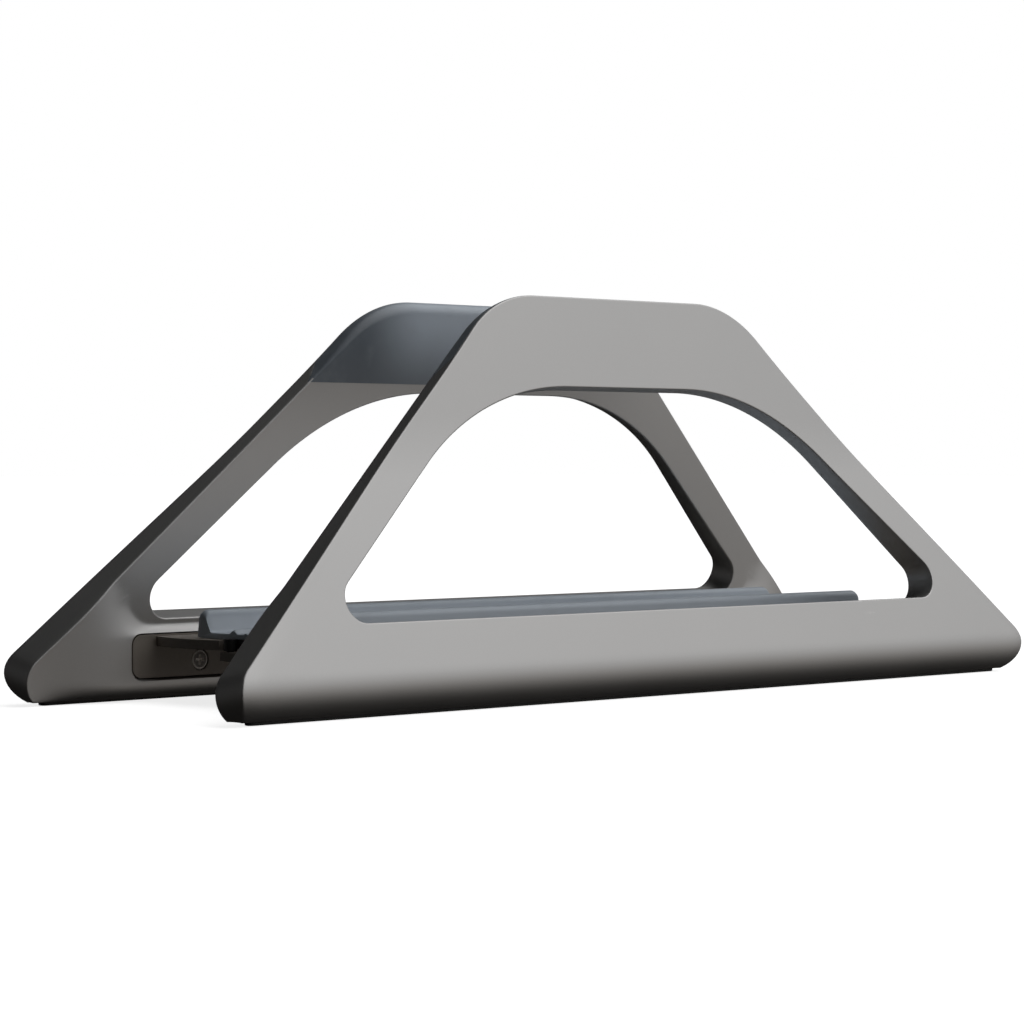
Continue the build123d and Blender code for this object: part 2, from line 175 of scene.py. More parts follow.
def half_outline(inset, floor):
    """The +x half of the frame's outline, moved in by an inset and cut off at a floor height."""
    high = plate_height - inset
    corner = foot_corner_radius - inset
    corner_centre = (foot_centre_x, foot_centre_s)
    bend = shoulder_radius - inset
    shoulder_s = high - bend
    line_x = base_half_length - inset * arm_slant
    shoulder = (line_x - arm_run * shoulder_s - (bend - shoulder_proud) * arm_slant, shoulder_s)
    flare = shoulder_flare_radius + inset
    reach = sqrt(shoulder_proud * (2 * (bend + flare) - shoulder_proud))
    across = bend - shoulder_proud + flare
    turn = atan2(reach, across)
    flare_centre = (shoulder[0] + across * cos(arm_normal) + reach * sin(arm_normal),
                    shoulder[1] + across * sin(arm_normal) - reach * cos(arm_normal))
    start = asin(max(-1.0, min(1.0, (floor - foot_centre_s) / corner)))
    corner_low = polar(corner_centre, corner, start)
    corner_high = polar(corner_centre, corner, arm_normal)
    flare_low = polar(flare_centre, -flare, arm_normal)
    points = line_points((0, corner_low[1]), corner_low, level_steps)
    points += arc_points(corner_centre, corner, start, arm_normal, corner_steps)
    points += line_points(corner_high, flare_low, arm_steps)
    points += arc_points(flare_centre, flare, arm_normal + pi, arm_normal + pi - turn, flare_steps)
    points += arc_points(shoulder, bend, arm_normal - turn, pi / 2, shoulder_steps)
    points += line_points((shoulder[0], high), (0, high), head_steps)
    return points + [(0, high)]


def half_window(grow):
    """The +x half of the window's grown outline, with as many points as the frame's outline."""
    low = bar_height
    high = plate_height - head_bar_depth
    low_half = outline_half(low) - arm_width_low
    high_half = outline_half(high) - arm_width_high
    run = (low_half - high_half) / (high - low)
    normal = atan2(run, 1)
    slope = hypot(1, run)
    corner = (low_half - window_corner_radius * (run + slope), low + window_corner_radius)
    head = (high_half + window_head_radius * (run - slope), high - window_head_radius)
    bend = window_corner_radius + grow
    arch = window_head_radius + grow
    points = line_points((0, low - grow), (corner[0], low - grow), level_steps)
    points += arc_points(corner, bend, -pi / 2, normal, corner_steps)
    points += line_points(polar(corner, bend, normal), polar(head, arch, normal), arm_steps)
    points += arc_points(head, arch, normal, pi / 2, flare_steps + shoulder_steps)
    points += line_points((head[0], high + grow), (0, high + grow), head_steps)
    return points + [(0, high + grow)]


def whole_loop(half):
    """A closed loop from its +x half."""
    return half + [(-x, s) for x, s in reversed(half[1:-1])]


def section_point(out, up):
    """World y and z of a point of the section, from its distance off the inner face and height up it."""
    return (half_gap_at_floor + out * cos(lean) - up * sin(lean), out * sin(lean) + up * cos(lean))


def in_world(x, out, up):
    return Vector((x, *section_point(out, up))) * MM


def roll_centre():
    """Distance off the inner face and height of the centre of the roll that ends on the sole's outer edge."""
    flare_angle = lean + atan(flare_slope)
    down = Vector((sin(flare_angle), -cos(flare_angle)))
    outwards = Vector((cos(flare_angle), sin(flare_angle)))
    base = Vector(section_point(head_thickness, flare_height)) - outwards * sole_roll_radius
    end = Vector((half_gap_at_floor - sole_height * tan(lean) + sole_width, sole_height))
    drop = (end - base).dot(down)
    aside = (end - base - down * drop).length
    centre = base + down * (drop - sqrt(sole_roll_radius**2 - aside**2)) - Vector((half_gap_at_floor, 0))
    return (centre.x * cos(lean) + centre.y * sin(lean), centre.y * cos(lean) - centre.x * sin(lean))


roll_out, roll_up = roll_centre()
roll_top = roll_up + sole_roll_radius * sin(atan(flare_slope))


def outer_offset(height):
    """Distance from the inner plane to the outer face: flat, blended, flared, then rolled under."""
    if height < roll_top:
        drop = min(roll_up - height, sole_roll_radius * just_under)
        return roll_out + sqrt(sole_roll_radius**2 - drop**2)
    above = flare_height - height
    if above > flare_blend:
        return head_thickness + flare_slope * above
    if above < -flare_blend:
        return head_thickness
    return head_thickness + flare_slope * (above + flare_blend) ** 2 / (4 * flare_blend)


def foot_roll(x, height):
    """How far the outer face falls away towards the rim round the foot corner."""
    x = abs(x)
    off_x, off_s = x - foot_centre_x, height - foot_centre_s
    angle = atan2(off_s, off_x)
    if angle > arm_normal:
        distance = (outline_half(height) - x) / arm_slant
    else:
        distance = foot_corner_radius - hypot(off_x, off_s)
    if off_x < 0 and off_s < 0:
        distance = foot_roll_width
    reach = smooth((foot_roll_height - height) / foot_roll_height) * smooth((angle + pi / 2) / foot_roll_turn)
    return foot_roll_depth * reach * max(0.0, 1 - distance / foot_roll_width) ** 2


def outer_sole():
    """Height up the plate where the outer face meets the sole, found by halving."""
    low, high = -4.0, 8.0
    for _ in range(40):
        middle = (low + high) / 2
        if section_point(outer_offset(middle), middle)[1] < sole_height:
            low = middle
        else:
            high = middle
    return high


inner_sole = sole_height / cos(lean)
crown_s = bar_crown / cos(lean)
bed_low = plate_height - pad_depth


def swelling(x, height):
    """How far the lower bar stands in from the plate's inner face."""
    beyond = abs(x) - pocket_half
    fade = 1 - smooth((beyond - bar_fade_start) / bar_fade)
    rise = ledge_rise + ledge_spread * smooth((beyond - ledge_spread_start) / ledge_spread)
    under = inner_sole + bar_under_radius
    face = (half_gap_at_floor - height * sin(lean) - bar_face_y) / cos(lean)
    if height > crown_s:
        start = (half_gap_at_floor - crown_s * sin(lean) - bar_face_y) / cos(lean)
        face = start * (1 - min(1.0, (height - crown_s) / rise)) ** ledge_power
    elif height < under:
        face *= sqrt(max(0.0, 1 - ((under - height) / bar_under_radius) ** 2))
    return fade * face


def inner_offset(x, height):
    return pad_bed * smooth((height - bed_low - bed_hidden) / bed_wall) - swelling(x, height)


def bed_share(height, climb=0.0):
    """0 below the pad's bed, 1 where the rim is at its full depth."""
    return smooth((height - bed_low - climb - bed_hidden) / bed_ramp)


def eased(count):
    return [0.5 - 0.5 * cos(pi * i / count) for i in range(count + 1)]


def face_ring(outline, window, share, offset):
    ring = [between(edge, hole, share) for edge, hole in zip(outline, window)]
    return [(x, offset(x, s), s) for x, s in ring]


def frame_rings():
    """Closed rings of points: over the inner face, through the window, over the outer face, round the rim."""
    sole = outer_sole()
    crown_share = (crown_s - inner_sole) / (bar_height - edge_radius - inner_sole)
    plain = [crown_share * k for k in eased(rows_below_crown)]
    plain += [crown_share + (1 - crown_share) * k for k in eased(rows_above_crown)[1:]]
    shares = sorted(plain + [crown_share - crown_softness, crown_share + crown_softness])
    turns = quarter(edge_steps)
    inner_bed = whole_loop(half_outline(pad_bed, inner_sole))
    inner_edge = [between(edge, bed, bed_share(edge[1]))
                  for edge, bed in zip(whole_loop(half_outline(edge_radius, inner_sole)), inner_bed)]
    outer_edge = whole_loop(half_outline(edge_radius, sole))
    window = whole_loop(half_window(edge_radius))

    def outer(x, s):
        return outer_offset(s) - foot_roll(x, s)

    rings = [face_ring(inner_edge, window, share, inner_offset) for share in shares]
    for turn in turns[1:]:
        grown = whole_loop(half_window(edge_radius * (1 - sin(turn))))
        rings.append([(x, inner_offset(x, s) + edge_radius * (1 - cos(turn)), s) for x, s in grown])
    wall = whole_loop(half_window(0))
    for step in range(1, edge_steps):
        share = step / edge_steps
        rings.append([(x, edge_radius + (outer(x, s) - 2 * edge_radius) * share, s) for x, s in wall])
    for turn in reversed(turns[1:]):
        grown = whole_loop(half_window(edge_radius * (1 - sin(turn))))
        rings.append([(x, outer(x, s) - edge_radius * (1 - cos(turn)), s) for x, s in grown])
    rings += [face_ring(outer_edge, window, share, outer) for share in reversed(plain)]
    for turn in turns[1:]:
        edge = whole_loop(half_outline(edge_radius * (1 - sin(turn)), sole))
        rings.append([(x, outer(x, s) - edge_radius * (1 - cos(turn)), s) for x, s in edge])
    lip = head_thickness - outer_lip
    last = rim_steps - 1
    for i in range(last, 0, -1):
        floor = inner_sole + (sole - inner_sole) * i / rim_steps
        sharp_edge = whole_loop(half_outline(0, floor))
        bedded = whole_loop(half_outline(pad_bed, floor))
        ring = []
        for (x, s), bed in zip(sharp_edge, bedded):
            out = edge_radius + (outer(x, s) - 2 * edge_radius) * i / rim_steps
            if s > bed_low:
                out = lip + lip_gap if i == last else lip * i / (last - 1)
            on_bed = 0 if i == last else bed_share(s, pad_edge_climb * out)
            across, up = between((x, s), bed, on_bed)
            ring.append((across, max(out, pad_bed * on_bed), up))
        rings.append(ring)
    for turn in reversed(turns[1:]):
        edge = whole_loop(half_outline(edge_radius * (1 - sin(turn)), inner_sole))
        ring = []
        for (x, s), bed in zip(edge, inner_bed):
            across, up = between((x, s), bed, bed_share(s))
            ring.append((across, inner_offset(x, s) + edge_radius * (1 - cos(turn)) * (1 - bed_share(s)), up))
        rings.append(ring)
    return rings


def linked(name, data):
    """A new object in the scene."""
    piece = bpy.data.objects.new(name, data)
    bpy.context.scene.collection.objects.link(piece)
    return piece


def mesh_object(name, mesh, sharp=0.6):
    """An object at the origin from a bmesh: faces outwards, smooth but for edges over an angle."""
    bmesh.ops.recalc_face_normals(mesh, faces=mesh.faces)
    for face in mesh.faces:
        face.smooth = True
    for edge in mesh.edges:
        edge.smooth = edge.is_manifold and edge.calc_face_angle(0) < sharp
    data = bpy.data.meshes.new(name)
    mesh.to_mesh(data)
    mesh.free()
    return linked(name, data)


def loft(mesh, rings, closed=False):
    """Quads between rings of points, in world metres; the last ring also joins the first where closed."""
    rows = [[mesh.verts.new(point) for point in ring] for ring in rings]
    pairs = list(zip(rows, rows[1:])) + ([(rows[-1], rows[0])] if closed else [])
    for first, second in pairs:
        for i in range(len(first)):
            j = (i + 1) % len(first)
            mesh.faces.new((first[i], first[j], second[j], second[i]))
    return rows


def capped(mesh, rings):
    """A closed solid lofted through rings of points, with a flat face at each end."""
    rows = loft(mesh, rings)
    mesh.faces.new(rows[0])
    mesh.faces.new(reversed(rows[-1]))


def stadium(half_x, half_z, radius, steps=8):
    """A rounded rectangle's points round its middle."""
    points = []
    for cx, cz, start in ((1, 1, 0), (-1, 1, pi / 2), (-1, -1, pi), (1, -1, 3 * pi / 2)):
        for i in range(steps + 1):
            centre = (cx * (half_x - radius), cz * (half_z - radius))
            points.append(polar(centre, radius, start + pi / 2 * i / steps))
    return points


def slab(mesh, half_x, half_z, radius, middle_z, sections):
    """A closed upright slab along y; sections are (y, how much it is grown there)."""
    rings = []
    for y, grow in sections:
        outline = stadium(half_x + grow, half_z + grow, radius + grow)
        rings.append([Vector((x, y, middle_z + z)) * MM for x, z in outline])
    capped(mesh, rings)


def flipped(piece, name):
    """A copy of a piece mirrored to the front side, with its faces outwards."""
    mesh = bmesh.new()
    mesh.from_mesh(piece.data)
    bmesh.ops.scale(mesh, vec=(1, -1, 1), verts=mesh.verts)
    twin = mesh_object(name, mesh)
    for material in piece.data.materials:
        twin.data.materials.append(material)
    return twin


def applied(piece):
    """A piece whose modifiers have become its mesh."""
    scene_now = bpy.context.evaluated_depsgraph_get()
    data = bpy.data.meshes.new_from_object(piece.evaluated_get(scene_now))
    data.name = piece.name
    piece.modifiers.clear()
    piece.data = data
    return piece


def remade(piece, sharp=0.6):
    """A piece made anew from its mesh, with its normals and sharp edges found again."""
    name = piece.name
    mesh = bmesh.new()
    mesh.from_mesh(piece.data)
    bpy.data.objects.remove(piece)
    return mesh_object(name, mesh, sharp)


def cut(piece, cutter):
    """A piece with a cutter's shape taken away."""
    boolean = piece.modifiers.new("cut", "BOOLEAN")
    boolean.solver = "EXACT"
    boolean.operation = "DIFFERENCE"
    boolean.object = cutter
    applied(piece)
    bpy.data.objects.remove(cutter)
    return remade(piece)


class Value:
    """One socket of a material's tree, with arithmetic that adds Math nodes."""

    def __init__(self, tree, socket):
        self.tree = tree
        self.socket = socket

    def math(self, operation, *others):
        return self.tree.make("Math", {"operation": operation}, [self, *others])

    def __add__(self, other):
        return self.math("ADD", other)

    def __sub__(self, other):
        return self.math("SUBTRACT", other)

    def __rsub__(self, other):
        return self.tree.make("Math", {"operation": "SUBTRACT"}, [other, self])

    def __mul__(self, other):
        return self.math("MULTIPLY", other)

    def __truediv__(self, other):
        return self.math("DIVIDE", other)

    __radd__ = __add__
    __rmul__ = __mul__

    def step(self, low, high):
        """0 below low, 1 above high, smooth between."""
        settings = {"interpolation_type": "SMOOTHSTEP"}
        return self.tree.make("MapRange", settings, [self, low, high, 0.0, 1.0])


class Tree:
    """A node tree that is written as expressions."""

    def __init__(self, tree):
        self.nodes = tree.nodes
        self.links = tree.links

    def join(self, source, socket):
        if isinstance(source, Value):
            self.links.new(source.socket, socket)
        else:
            socket.default_value = source

    def make(self, kind, settings=None, inputs=(), output=0):
        node = self.nodes.new("ShaderNode" + kind)
        for name, setting in (settings or {}).items():
            setattr(node, name, setting)
        named = inputs.items() if isinstance(inputs, dict) else enumerate(inputs)
        for name, source in named:
            if source is not None:
                self.join(source, node.inputs[name])
        return Value(self, node.outputs[output])

    def place(self):
        return self.make("TexCoord", output="Object")

    def axis(self, name):
        """One coordinate of the place, in metres."""
        return self.make("SeparateXYZ", inputs=[self.place()], output=name)

    def noise(self, scale, detail=2.0, stretch=(1, 1, 1)):
        """Noise in [0, 1]; the scale is features per metre."""
        place = self.make("Mapping", inputs={"Vector": self.place(), "Scale": stretch})
        return self.make("TexNoise", inputs={"Vector": place, "Scale": scale, "Detail": detail})

    def blend(self, share, first, second):
        """A colour between two colours."""
        return self.make("Mix", {"data_type": "RGBA"}, {"Factor": share, 6: first, 7: second}, output=2)

    def bump(self, height, depth, strength=1.0):
        return self.make("Bump", inputs={"Strength": strength, "Distance": depth, "Height": height})


def finish(name, recipe):
    """A material whose Principled sockets come from a recipe that takes its tree."""
    material = bpy.data.materials.new(name)
    material.use_nodes = True
    shader = material.node_tree.nodes["Principled BSDF"]
    tree = Tree(material.node_tree)
    for socket, source in recipe(tree).items():
        tree.join(source, shader.inputs[socket])
    return material


def grey(value, warmth=0.0):
    return (value * (1 + warmth), value, value * (1 - warmth), 1)


def anodised(tree):
    """Bead-blasted grey anodising: a fine sparkle, faint clouding, and paler edges where it wears."""
    grain = tree.noise(5200, 2)
    cloud = tree.noise(38, 3)
    rub = tree.noise(420, 3)
    edge = tree.make("NewGeometry", output="Pointiness").step(0.56, 0.66)
    wear = edge * rub.step(0.35, 0.7)
    shade = tree.blend(grain * 0.5 + cloud * 0.5, grey(0.50, 0.006), grey(0.60, 0.012))
    return {
        "Base Color": tree.blend(wear * 0.5, shade, grey(0.74, 0.01)),
        "Metallic": 1.0,
        "Roughness": 0.44 + cloud * 0.05 + grain * 0.05 - wear * 0.10,
        "Normal": tree.bump(grain, 0.000010, 0.35),
    }


frame_metal = finish("frame_metal", anodised)


def side_frame():
    mesh = bmesh.new()
    loft(mesh, [[in_world(*point) for point in ring] for ring in frame_rings()], closed=True)
    frame_piece = mesh_object("rear_side_frame", mesh)
    cutter_mesh = bmesh.new()
    half_z = (bar_crown - pocket_low) / 2
    mouth = pocket_chamfer
    slab(cutter_mesh, pocket_half, half_z, pocket_corner_radius, pocket_low + half_z,
         [(bar_face_y - 2 * mouth, 3 * mouth), (bar_face_y, mouth), (bar_face_y + mouth * 0.5, mouth * 0.3),
          (bar_face_y + mouth, 0), (bar_face_y + pocket_depth, 0)])
    return cut(frame_piece, mesh_object("pocket_cutter", cutter_mesh))


rear_frame = side_frame()
rear_frame.data.materials.append(frame_metal)
front_frame = flipped(rear_frame, "front_side_frame")
for side, piece in (("rear", rear_frame), ("front", front_frame)):
    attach(piece, side + "_side")
    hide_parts(side + "_frame")

# ---- Grip pads ----
# A moulded silicone facing, bonded into a bed in each frame's head, that wraps over the rim to the outer lip.
# Its face curves back towards the top, and its edge is a full soft roll that tightens at the lower corners.
pad_skin = 1.2
pad_roll = 2.0
pad_crown = 1.25
pad_flat = 2.0
pad_end_roll = 0.45
pad_end_points = 30
pad_rise = 0.05
pad_rows = 12
inset_steps = 12
roll_steps = 8
climb_steps = 8
side_points = 61
start_gap = 0.01
lip_out = head_thickness - outer_lip


def resampled(points, count):
    """A polyline's points, evenly spaced, as (x, s)."""
    lengths = [0.0]
    for a, b in zip(points, points[1:]):
        lengths.append(lengths[-1] + hypot(b[0] - a[0], b[1] - a[1]))
    result, i = [], 0
    for k in range(count):
        target = lengths[-1] * k / (count - 1)
        while i < len(points) - 2 and lengths[i + 1] < target:
            i += 1
        share = (target - lengths[i]) / (lengths[i + 1] - lengths[i])
        result.append(between(points[i], points[i + 1], share))
    return result


def head_outline(start, inset):
    """The outline from a height on the +x side over the head to the -x side."""
    half = half_outline(inset, inner_sole)
    above = [point for point in half if point[1] > start + start_gap]
    first = half[half.index(above[0]) - 1]
    share = (start - first[1]) / (above[0][1] - first[1])
    right = resampled([between(first, above[0], share)] + above, side_points)
    return right + [(-x, s) for x, s in reversed(right[:-1])]


def crown(s):
    """How far the pad's face has curved back at a height."""
    return pad_crown * max(0.0, (s - bed_low - pad_flat) / (pad_depth - pad_flat)) ** 2


def level_point(levels, place, i):
    """The i-th point of a stack of outlines, at a place that may fall between two of them."""
    low = min(len(levels) - 2, int(place))
    return between(levels[low][i], levels[low + 1][i], place - low)


def grip_pad():
    """Rows of points: up the pad's face, round its rolled edge, then across the rim to the outer lip."""
    deep = [head_outline(bed_low, pad_roll * k / inset_steps) for k in range(-1, inset_steps + 1)]
    climbs = [head_outline(bed_low + pad_edge_climb * lip_out * k / climb_steps, -pad_rise)
              for k in range(climb_steps + 1)]
    last = len(climbs[0]) - 1
    rolls = [pad_end_roll + (pad_roll - pad_end_roll) * smooth(min(i, last - i) / pad_end_points)
             for i in range(last + 1)]

    def inset_point(i, inset):
        return level_point(deep, 1 + min(inset_steps, max(-1, inset / pad_roll * inset_steps)), i)

    tops = [inset_point(i, roll) for i, roll in enumerate(rolls)]
    foot_share = (outline_half(bed_low) - rolls[0]) / abs(deep[1][0][0])
    rows = []
    for k in range(pad_rows + 1):
        face = [between((top[0] * foot_share, bed_low), top, k / pad_rows) for top in tops]
        rows.append([(x, crown(s) - pad_rise, s) for x, s in face])
    for turn in quarter(roll_steps)[1:]:
        row = []
        for i, (top, roll) in enumerate(zip(tops, rolls)):
            x, s = inset_point(i, roll * (1 - sin(turn)) - pad_rise * sin(turn))
            row.append((x, crown(top[1]) + roll * (1 - cos(turn)) - pad_rise * cos(turn), s))
        rows.append(row)
    for share in (0.33, 0.67, 1.0):
        row = []
        for i, (top, roll) in enumerate(zip(tops, rolls)):
            shoulder = crown(top[1]) + roll
            out = shoulder + (lip_out - shoulder) * share
            x, s = level_point(climbs, min(climb_steps, max(0, out / lip_out * climb_steps)), i)
            row.append((x, out, s))
        rows.append(row)
    return rows


# Where the grip pad's painted light falls, in metres: between two heights, and out to two distances from the
# middle.
painted_light_low, painted_light_high = 0.058, 0.075
painted_light_inner, painted_light_outer = 0.020, 0.038
# Below these heights the cradle trough and other low silicone are given the pale painted-light tone, by this
# share.
trough_low, trough_high = 0.03, 0.05
trough_pale = 0.72


def silicone(tree):
    """Slate-blue silicone: satin skin, moulded grain and clouding, with painted light and shade: the grip pad
    is painted darker low down and towards its ends and paler towards the top of its middle, and the cradle
    trough is given the pale tone.
    """
    grain = tree.noise(2600, 3)
    cloud = tree.noise(55, 3)
    bloom = tree.noise(190, 4).step(0.45, 0.8)
    height = tree.axis("Z")
    aside = tree.axis("X").math("ABSOLUTE")
    # Painted light and shade: this mask paints the pad paler towards the top of its middle, leaves its lower
    # part and ends in the darker painted-shade tone, and gives the trough the pale tone.
    painted_light = height.step(painted_light_low, painted_light_high) * (1 - aside.step(painted_light_inner, painted_light_outer))
    painted_light += (1 - height.step(trough_low, trough_high)) * trough_pale
    # deep is the painted-shade tone and pale the painted-light tone of the same silicone.
    deep = tree.blend(cloud, (0.125, 0.150, 0.182, 1), (0.150, 0.176, 0.208, 1))
    pale = tree.blend(cloud, (0.52, 0.59, 0.67, 1), (0.57, 0.64, 0.72, 1))
    shade = tree.blend(painted_light, deep, pale)
    return {
        "Base Color": tree.blend(bloom * 0.25, shade, (0.36, 0.40, 0.44, 1)),
        "Roughness": 0.38 + grain * 0.08 + bloom * 0.10,
        "Specular IOR Level": 0.75,
        "Sheen Weight": 0.12,
        "Normal": tree.bump(grain, 0.000012, 0.3),
    }


silicone_skin = finish("silicone", silicone)


def sheet_solid(name, rows, thickness):
    """A solid from an open sheet of points and its thickness, grown inwards."""
    mesh = bmesh.new()
    verts = [[mesh.verts.new(in_world(*point)) for point in row] for row in rows]
    for first, second in zip(verts, verts[1:]):
        for i in range(len(first) - 1):
            mesh.faces.new((first[i], second[i], second[i + 1], first[i + 1]))
    bmesh.ops.remove_doubles(mesh, verts=mesh.verts, dist=1e-6)
    bmesh.ops.recalc_face_normals(mesh, faces=mesh.faces)
    middle = max(mesh.faces, key=lambda face: face.calc_area())
    if middle.normal.y > 0:
        bmesh.ops.reverse_faces(mesh, faces=mesh.faces)
    data = bpy.data.meshes.new(name)
    mesh.to_mesh(data)
    mesh.free()
    data.shade_smooth()
    piece = linked(name, data)
    solid = piece.modifiers.new("skin", "SOLIDIFY")
    solid.thickness = thickness * MM
    solid.offset = -1
    return remade(applied(piece))


rear_pad = sheet_solid("rear_head_pad", grip_pad(), pad_skin)
rear_pad.data.materials.append(silicone_skin)
front_pad = flipped(rear_pad, "front_head_pad")
for side, piece in (("rear", rear_pad), ("front", front_pad)):
    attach(piece, side + "_side")
    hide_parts(side + "_grip_pad")

# ---- Foot strips ----
# A black rubber strip glued into the groove under each frame, 1.2 mm thick, with a softened lower edge
# and fine moulded cross ribs that stop the stand from creeping on the desk.
strip_low, strip_high = (Vector(corner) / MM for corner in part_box("rear_foot_strip"))
strip_middle = (strip_low + strip_high) / 2
strip_half = (strip_high - strip_low) / 2
strip_edge_radius = 0.3
strip_end_flat = 0.001


def foot_strip():
    mesh = bmesh.new()
    rings = []
    edge = strip_edge_radius
    levels = [(edge * (1 - cos(turn)), edge * (1 - sin(turn))) for turn in quarter(4)]
    for up, inset in levels + [(2 * strip_half.z, 0)]:
        half_width = strip_half.y - inset
        outline = stadium(strip_half.x - inset, half_width, half_width - strip_end_flat, 6)
        rings.append([Vector((x, strip_middle.y + y, up)) * MM for x, y in outline])
    capped(mesh, rings)
    return mesh_object("rear_sole_strip", mesh)


def rubber(tree):
    """Black rubber with a dusty, slightly greyed skin and fine cross ribs."""
    grain = tree.noise(3800, 2)
    dust = tree.noise(300, 4).step(0.5, 0.8)
    ribs = tree.noise(1100, 0, stretch=(1, 0.02, 0.02))
    return {
        "Base Color": tree.blend(dust * 0.4, grey(0.012), grey(0.045, 0.02)),
        "Roughness": 0.72 + dust * 0.15,
        "Normal": tree.bump(grain + ribs, 0.00003, 0.5),
    }


rear_strip = foot_strip()
rear_strip.data.materials.append(finish("foot_rubber", rubber))
front_strip = flipped(rear_strip, "front_sole_strip")
for side, piece in (("rear", rear_strip), ("front", front_strip)):
    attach(piece, side + "_side")
    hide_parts(side + "_foot_strip")

# ---- Swing arms, hinge spine and carrier ----
# The arms are glass-filled nylon mouldings with a flange that screws into the frame's pocket.  The spine is
# the same nylon, and the carrier is a painted steel strip with a guide post at each corner.
arm_edge = 0.14


def softened(node, name, width):
    """A node's shape with its facets merged and its sharp edges broken."""
    mesh = bmesh.new()
    mesh.from_mesh(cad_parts[node].data)
    bmesh.ops.remove_doubles(mesh, verts=mesh.verts, dist=2e-6)
    bmesh.ops.dissolve_limit(mesh, angle_limit=radians(0.5), verts=mesh.verts, edges=mesh.edges)
    piece = mesh_object(name, mesh, sharp=0.5)
    bevel = piece.modifiers.new("edges", "BEVEL")
    bevel.width = width * MM
    bevel.segments = 2
    bevel.limit_method = "ANGLE"
    bevel.angle_limit = radians(35)
    bevel.harden_normals = True
    bevel.use_clamp_overlap = True
    return applied(piece)


def nylon(tree):
    """Dark, warm grey glass-filled nylon: spark-eroded texture, cloudy gloss and a few pale scuffs."""
    grain = tree.noise(3200, 4)
    cloud = tree.noise(60, 3)
    flow = tree.noise(260, 3, stretch=(0.15, 1, 1))
    scuff = tree.noise(900, 3).step(0.62, 0.8)
    shade = tree.blend(cloud, grey(0.21, 0.13), grey(0.26, 0.13))
    return {
        "Base Color": tree.blend(scuff * 0.35, shade, grey(0.33, 0.08)),
        "Roughness": 0.40 + grain * 0.18 + flow * 0.06,
        "Normal": tree.bump(grain * 0.7 + flow * 0.3, 0.00003, 0.6),
    }


def powder_coat(tree):
    """Black powder coat with its fine orange peel."""
    peel = tree.noise(1300, 1)
    grain = tree.noise(5200, 2)
    return {
        "Base Color": tree.blend(grain, grey(0.018), grey(0.030)),
        "Roughness": 0.36 + peel * 0.12,
        "Coat Weight": 0.15,
        "Normal": tree.bump(peel, 0.00003, 0.5),
    }


dark_nylon = finish("arm_nylon", nylon)
black_coat = finish("carrier_coat", powder_coat)
for node, body, material, slot in (
        ("rear_swing_arm", "rear_side", dark_nylon, "arm_plastic"),
        ("front_swing_arm", "front_side", dark_nylon, "arm_plastic"),
        ("hinge_spine", "spine", dark_nylon, "arm_plastic"),
        ("cradle_carrier", "cradle", black_coat, "carrier_steel")):
    piece = softened(node, node + "_moulding", arm_edge)
    piece.data.materials.append(material)
    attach(piece, body)
    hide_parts(node)

# ---- Cradle pad ----
# The silicone trough that takes the laptop's lower edge.  Its two tall lips hold the laptop between them, and
# low ridges along its floor cushion the laptop's edge.
cradle_low, cradle_high = (Vector(corner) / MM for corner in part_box("cradle_pad"))
cradle_half = cradle_high.x
floor_skin = 0.9
cradle_floor = cradle_low.z + floor_skin
floor_step = 0.2
floor_points = 48
lip_outer_y = cradle_high.y
lip_top_y = 13.15
lip_top_radius = 1.25
lip_foot_y = 10.7
lip_foot_radius = 0.9
ridge_y = 3.7
ridge_height = 0.85
ridge_width = 1.5
inner_ridge_y = 0.0
inner_ridge_height = 0.35
inner_ridge_width = 0.8
end_radius = 1.5
end_edge = 0.3


def trough_height(y):
    """Height of the trough's upper surface at a distance from its middle, up to the lip's inner face."""
    height = cradle_floor
    for centre, rise, width in ((ridge_y, ridge_height, ridge_width),
                                (inner_ridge_y, inner_ridge_height, inner_ridge_width)):
        height += rise * smooth(1 - abs(abs(y) - centre) / width)
    return height


def half_profile():
    """The +y half of the trough's section from the middle of its floor to the middle of its underside."""
    points = [(i * floor_step, trough_height(i * floor_step)) for i in range(floor_points)]
    middle = (lip_top_y, cradle_high.z - lip_top_radius)
    foot = (lip_foot_y, cradle_floor)
    top = (middle[0] - lip_top_radius, middle[1])
    slope = atan2(top[1] - foot[1], top[0] - foot[0])
    centre = (foot[0] - lip_foot_radius * tan(slope / 2), foot[1] + lip_foot_radius)
    points += [polar(centre, lip_foot_radius, slope * i / 8 - pi / 2) for i in range(9)]
    points += [between(foot, top, k) for k in (0.4, 0.6, 0.8)]
    points += [polar(middle, lip_top_radius, pi - pi * i / 14) for i in range(15)]
    outer_top = (middle[0] + lip_top_radius, middle[1])
    outer_low = (lip_outer_y, cradle_low.z + end_edge)
    points += [between(outer_top, outer_low, k) for k in (0.33, 0.67, 1.0)]
    points += [(lip_outer_y - end_edge * (1 - cos(a)), cradle_low.z + end_edge * (1 - sin(a)))
               for a in quarter(4)[1:]]
    return points + [(y, cradle_low.z) for y in (11.0, 7.0, 3.0, 0.0)]


